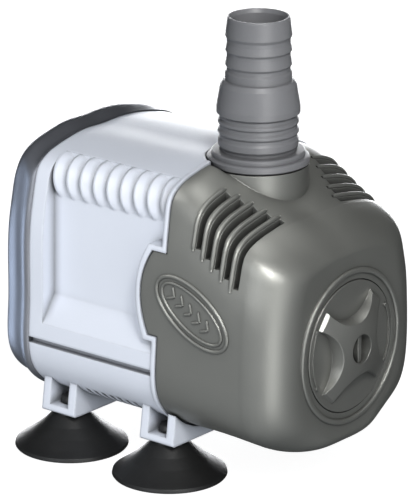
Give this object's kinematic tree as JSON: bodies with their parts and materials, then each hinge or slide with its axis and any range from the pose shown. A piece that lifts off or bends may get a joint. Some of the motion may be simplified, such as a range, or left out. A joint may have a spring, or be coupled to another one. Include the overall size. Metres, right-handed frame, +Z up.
{
  "type": "submersible circulation pump",
  "caption": "Submersible aquarium pump with a barbed hose tail, pull-off strainer cover, turning flow dial, ribbed motor housing and suction-cup feet.",
  "frame": {"origin": "centre of the bounding box, on the plane that the suction cups stand on", "axes": "+Z up along the hose tail, -Y towards the strainer cover and the flow dial, X across the body"},
  "size_m": [0.0958, 0.1236, 0.1414],
  "materials": {
    "housing_plastic": "satin",
    "rear_plastic": "satin",
    "cover_plastic": "satin",
    "tail_plastic": "satin",
    "cup_rubber": "matte",
    "seal_rubber": "matte",
    "core_steel": "bare",
    "copper_wire": "enamelled",
    "bobbin_plastic": "satin",
    "resin": "cast",
    "ceramic": "polished",
    "magnet": "ground",
    "impeller_plastic": "satin",
    "chamber_plastic": "satin",
    "gland_plastic": "satin",
    "spring_steel": "bare"
  },
  "bodies": {
    "motor": {"motor_housing": "housing_plastic", "rear_cover": "rear_plastic", "rotor_well": "chamber_plastic", "rotor_shaft": "ceramic", "rear_bush": "seal_rubber", "rear_thrust_washer": "ceramic", "stator_laminations": "core_steel", "coil_bobbin_left": "bobbin_plastic", "coil_bobbin_right": "bobbin_plastic", "coil_winding_left": "copper_wire", "coil_winding_right": "copper_wire", "potting_resin": "resin", "foot_bracket_front_left": "housing_plastic", "foot_bracket_front_right": "housing_plastic", "foot_bracket_rear_left": "housing_plastic", "foot_bracket_rear_right": "housing_plastic", "cable_gland": "gland_plastic", "gland_locknut": "gland_plastic", "gland_seal": "seal_rubber", "gland_nut": "gland_plastic"},
    "rotor": {"rotor_magnet": "magnet", "rotor_sleeve": "bobbin_plastic"},
    "impeller": {"impeller": "impeller_plastic"},
    "pump_chamber": {"volute": "chamber_plastic", "volute_seal": "seal_rubber", "intake_plate": "chamber_plastic", "front_bush": "seal_rubber", "front_thrust_washer": "ceramic"},
    "hose_tail": {"hose_tail": "tail_plastic", "outlet_seal": "seal_rubber"},
    "front_cover": {"front_cover": "cover_plastic"},
    "flow_dial": {"flow_dial": "cover_plastic", "flow_shutter": "chamber_plastic", "dial_clip": "spring_steel"},
    "cup_front_left": {"suction_cup_front_left": "cup_rubber"},
    "cup_front_right": {"suction_cup_front_right": "cup_rubber"},
    "cup_rear_left": {"suction_cup_rear_left": "cup_rubber"},
    "cup_rear_right": {"suction_cup_rear_right": "cup_rubber"}
  },
  "joints": [
    {"name": "rotor_spin", "type": "hinge", "parent": "motor", "child": "rotor", "pos_m": [0, 0.0133, 0.0439], "axis": [0, 1, 0], "continuous": true},
    {"name": "impeller_lost_motion", "type": "hinge", "parent": "rotor", "child": "impeller", "pos_m": [0, -0.0162, 0.0439], "axis": [0, 1, 0], "range_deg": [-130, 130]},
    {"name": "pump_chamber_pull", "type": "slide", "parent": "motor", "child": "pump_chamber", "axis": [0, -1, 0], "range_m": [0, 0.045]},
    {"name": "front_cover_pull", "type": "slide", "parent": "pump_chamber", "child": "front_cover", "axis": [0, -1, 0], "range_m": [0, 0.045]},
    {"name": "flow_dial_turn", "type": "hinge", "parent": "front_cover", "child": "flow_dial", "pos_m": [0, -0.0572, 0.0439], "axis": [0, 1, 0], "range_deg": [0, 90]},
    {"name": "hose_tail_lift", "type": "slide", "parent": "pump_chamber", "child": "hose_tail", "axis": [0, 0, 1], "range_m": [0, 0.014]},
    {"name": "cup_swivel_front_left", "type": "hinge", "parent": "motor", "child": "cup_front_left", "pos_m": [-0.03, -0.0107, 0.005], "axis": [0, 0, 1], "continuous": true},
    {"name": "cup_swivel_front_right", "type": "hinge", "parent": "motor", "child": "cup_front_right", "pos_m": [0.03, -0.0107, 0.005], "axis": [0, 0, 1], "continuous": true},
    {"name": "cup_swivel_rear_left", "type": "hinge", "parent": "motor", "child": "cup_rear_left", "pos_m": [-0.03, 0.0295, 0.005], "axis": [0, 0, 1], "continuous": true},
    {"name": "cup_swivel_rear_right", "type": "hinge", "parent": "motor", "child": "cup_rear_right", "pos_m": [0.03, 0.0295, 0.005], "axis": [0, 0, 1], "continuous": true}
  ]
}
